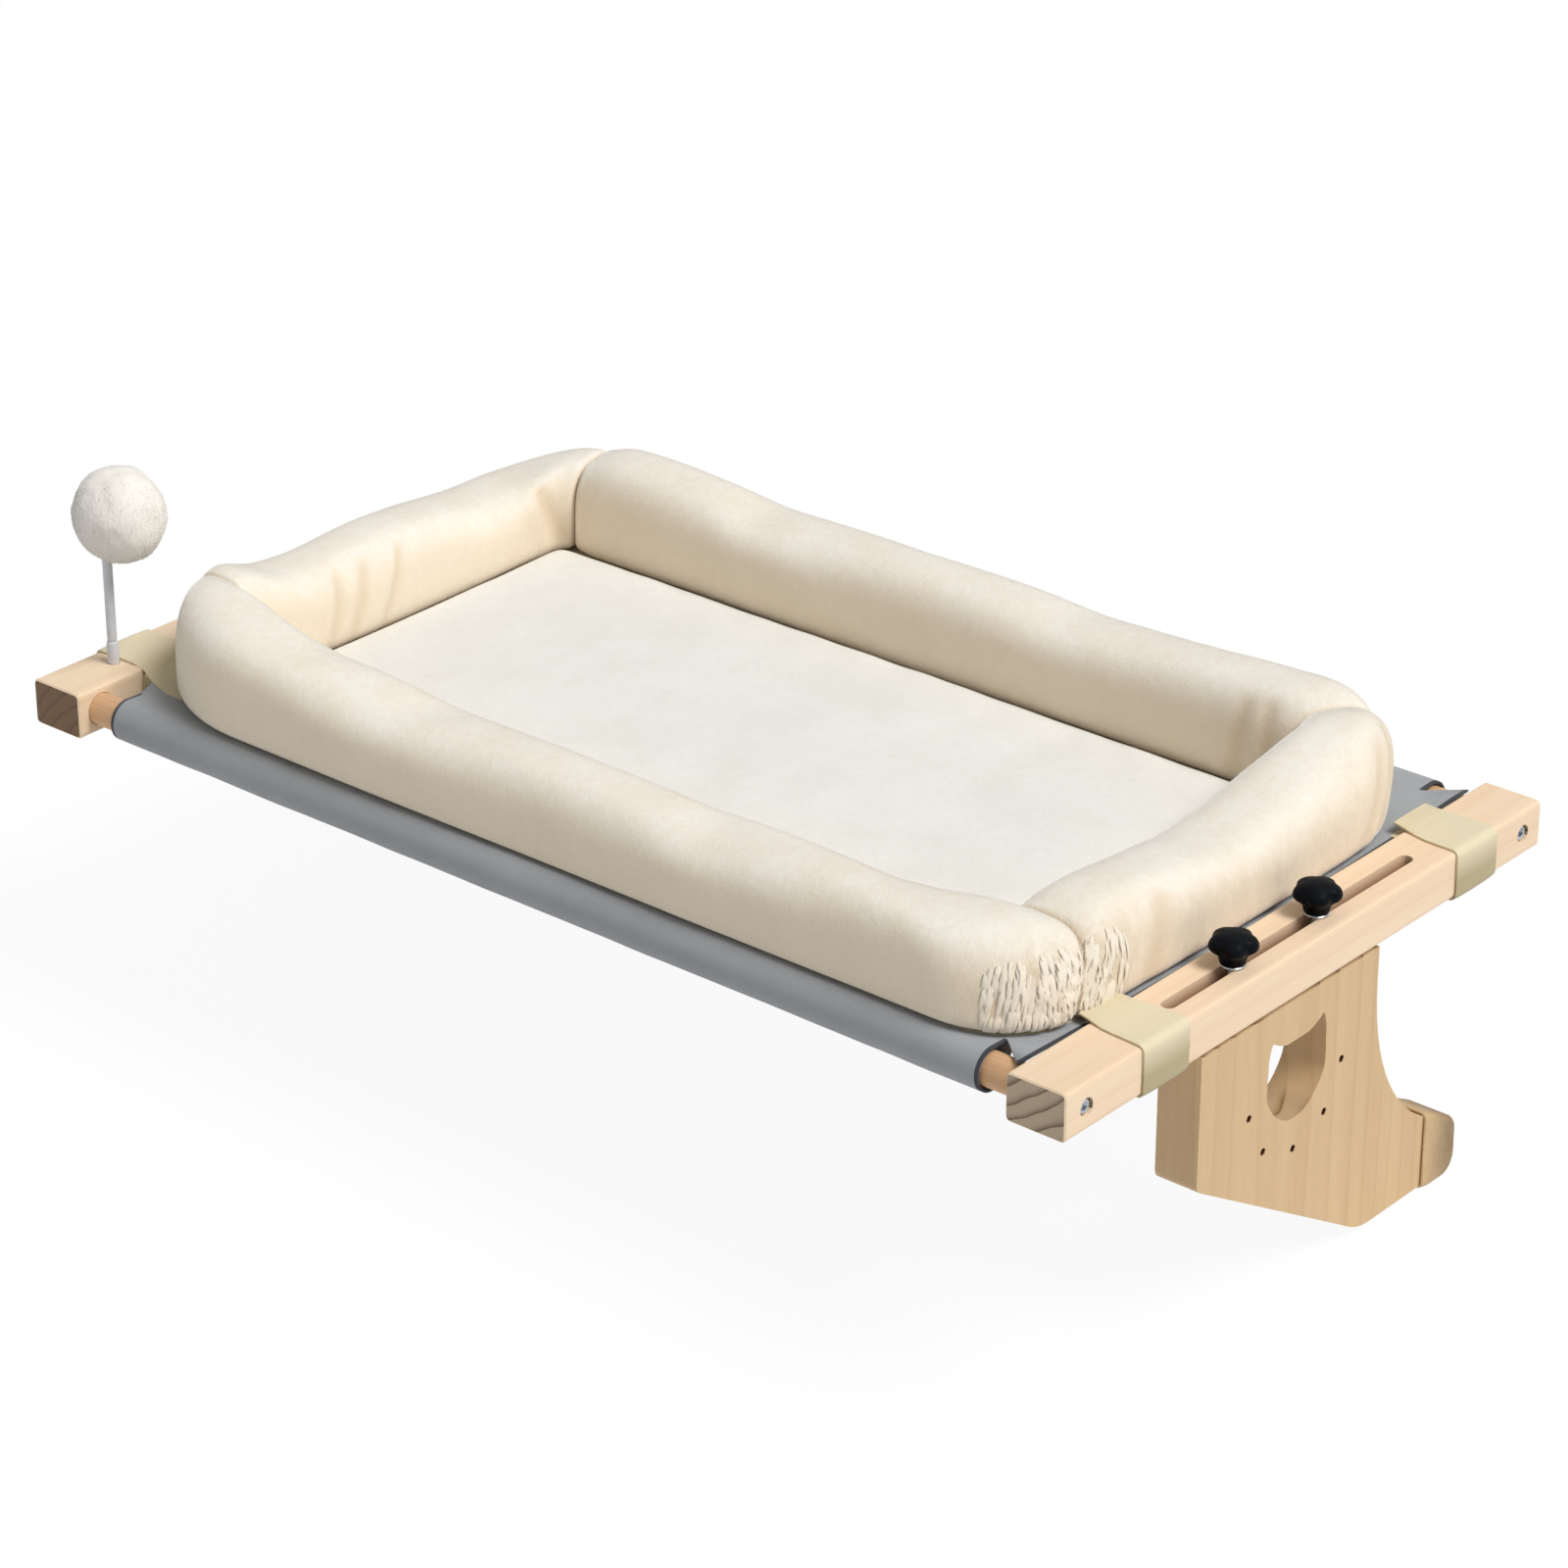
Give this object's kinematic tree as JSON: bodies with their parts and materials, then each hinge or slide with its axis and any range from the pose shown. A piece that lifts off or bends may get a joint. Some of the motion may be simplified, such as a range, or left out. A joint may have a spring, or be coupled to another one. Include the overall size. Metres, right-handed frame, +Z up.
{
  "type": "cat window bed",
  "caption": "Padded cat bed on a fabric sling between two wooden rails, with sliding wooden legs, clamping knobs and a plush ball toy, for a window sill.",
  "frame": {"origin": "midway between the rails, at their mid-length, on the plane of their undersides, one strap's thickness above the window sill", "axes": "+X along the bed's length from the left rail to the right rail, +Y back to the window, +Z up"},
  "size_m": [0.7048, 0.4, 0.3033],
  "materials": {
    "rail_wood": "sanded pale pine, clear matt lacquer",
    "leg_wood": "sanded pine with upright grain, clear matt lacquer",
    "tube_wood": "turned wood, satin",
    "sling_cloth": "fine plain weave",
    "bottom_cloth": "plain cotton cloth",
    "bolster_plush": "short-pile plush",
    "pad_plush": "short-pile plush",
    "strap_webbing": "soft woven webbing",
    "foot_felt": "brown felt",
    "knob_plastic": "black, slight sheen",
    "screw_steel": "zinc plated",
    "insert_brass": "plain",
    "toy_plastic": "flexible, light grey",
    "toy_plush": "long-pile plush"
  },
  "bodies": {
    "bed_frame": {"left_rail": "rail_wood", "right_rail": "rail_wood", "front_tube": "tube_wood", "back_tube": "tube_wood", "left_front_tube_screw": "screw_steel", "left_back_tube_screw": "screw_steel", "right_front_tube_screw": "screw_steel", "right_back_tube_screw": "screw_steel", "sling": "sling_cloth", "bed_bottom": "bottom_cloth", "front_bolster": "bolster_plush", "right_bolster": "bolster_plush", "back_bolster": "bolster_plush", "left_bolster": "bolster_plush", "base_pad": "pad_plush", "left_front_strap": "strap_webbing", "left_back_strap": "strap_webbing", "right_front_strap": "strap_webbing", "right_back_strap": "strap_webbing", "toy_socket": "toy_plastic"},
    "left_leg_body": {"left_leg": "leg_wood", "left_foot_cover": "foot_felt", "left_front_insert": "insert_brass", "left_back_insert": "insert_brass"},
    "right_leg_body": {"right_leg": "leg_wood", "right_foot_cover": "foot_felt", "right_front_insert": "insert_brass", "right_back_insert": "insert_brass"},
    "left_front_washer_body": {"left_front_washer": "screw_steel"},
    "left_front_knob_body": {"left_front_knob": "knob_plastic", "left_front_stud": "screw_steel"},
    "left_back_washer_body": {"left_back_washer": "screw_steel"},
    "left_back_knob_body": {"left_back_knob": "knob_plastic", "left_back_stud": "screw_steel"},
    "right_front_washer_body": {"right_front_washer": "screw_steel"},
    "right_front_knob_body": {"right_front_knob": "knob_plastic", "right_front_stud": "screw_steel"},
    "right_back_washer_body": {"right_back_washer": "screw_steel"},
    "right_back_knob_body": {"right_back_knob": "knob_plastic", "right_back_stud": "screw_steel"},
    "toy_stem_body": {"toy_stem": "toy_plastic"},
    "toy_ball_body": {"toy_ball": "toy_plush"}
  },
  "joints": [
    {"name": "left_leg_slide", "type": "slide", "parent": "bed_frame", "child": "left_leg_body", "axis": [0, 1, 0], "range_m": [-0.033, 0.055]},
    {"name": "right_leg_slide", "type": "slide", "parent": "bed_frame", "child": "right_leg_body", "axis": [0, 1, 0], "range_m": [-0.011, 0.065]},
    {"name": "left_front_knob_rise", "type": "slide", "parent": "left_leg_body", "child": "left_front_washer_body", "axis": [0, 0, 1], "range_m": [0, 0.008]},
    {"name": "left_front_knob_turn", "type": "hinge", "parent": "left_front_washer_body", "child": "left_front_knob_body", "pos_m": [-0.334, -0.038, 0.035], "axis": [0, 0, 1], "range_deg": [0, 2880]},
    {"name": "left_back_knob_rise", "type": "slide", "parent": "left_leg_body", "child": "left_back_washer_body", "axis": [0, 0, 1], "range_m": [0, 0.008]},
    {"name": "left_back_knob_turn", "type": "hinge", "parent": "left_back_washer_body", "child": "left_back_knob_body", "pos_m": [-0.334, 0.032, 0.035], "axis": [0, 0, 1], "range_deg": [0, 2880]},
    {"name": "right_front_knob_rise", "type": "slide", "parent": "right_leg_body", "child": "right_front_washer_body", "axis": [0, 0, 1], "range_m": [0, 0.008]},
    {"name": "right_front_knob_turn", "type": "hinge", "parent": "right_front_washer_body", "child": "right_front_knob_body", "pos_m": [0.334, -0.048, 0.035], "axis": [0, 0, 1], "range_deg": [0, 2880]},
    {"name": "right_back_knob_rise", "type": "slide", "parent": "right_leg_body", "child": "right_back_washer_body", "axis": [0, 0, 1], "range_m": [0, 0.008]},
    {"name": "right_back_knob_turn", "type": "hinge", "parent": "right_back_washer_body", "child": "right_back_knob_body", "pos_m": [0.334, 0.022, 0.035], "axis": [0, 0, 1], "range_deg": [0, 2880]},
    {"name": "toy_sway_side", "type": "hinge", "parent": "bed_frame", "child": "toy_stem_body", "pos_m": [-0.3325, -0.158, 0.052], "axis": [0, 1, 0], "range_deg": [-20, 20], "stiffness_Nm_per_rad": 0.3, "deforming": ["toy_stem"]},
    {"name": "toy_sway_back", "type": "hinge", "parent": "toy_stem_body", "child": "toy_ball_body", "pos_m": [-0.3325, -0.158, 0.068], "axis": [1, 0, 0], "range_deg": [-20, 20], "stiffness_Nm_per_rad": 0.3}
  ],
  "couplings": [
    {"joint": "left_front_knob_rise", "follows": "left_front_knob_turn", "m_per_rad": 0.00015915},
    {"joint": "left_back_knob_rise", "follows": "left_back_knob_turn", "m_per_rad": 0.00015915},
    {"joint": "right_front_knob_rise", "follows": "right_front_knob_turn", "m_per_rad": 0.00015915},
    {"joint": "right_back_knob_rise", "follows": "right_back_knob_turn", "m_per_rad": 0.00015915}
  ]
}
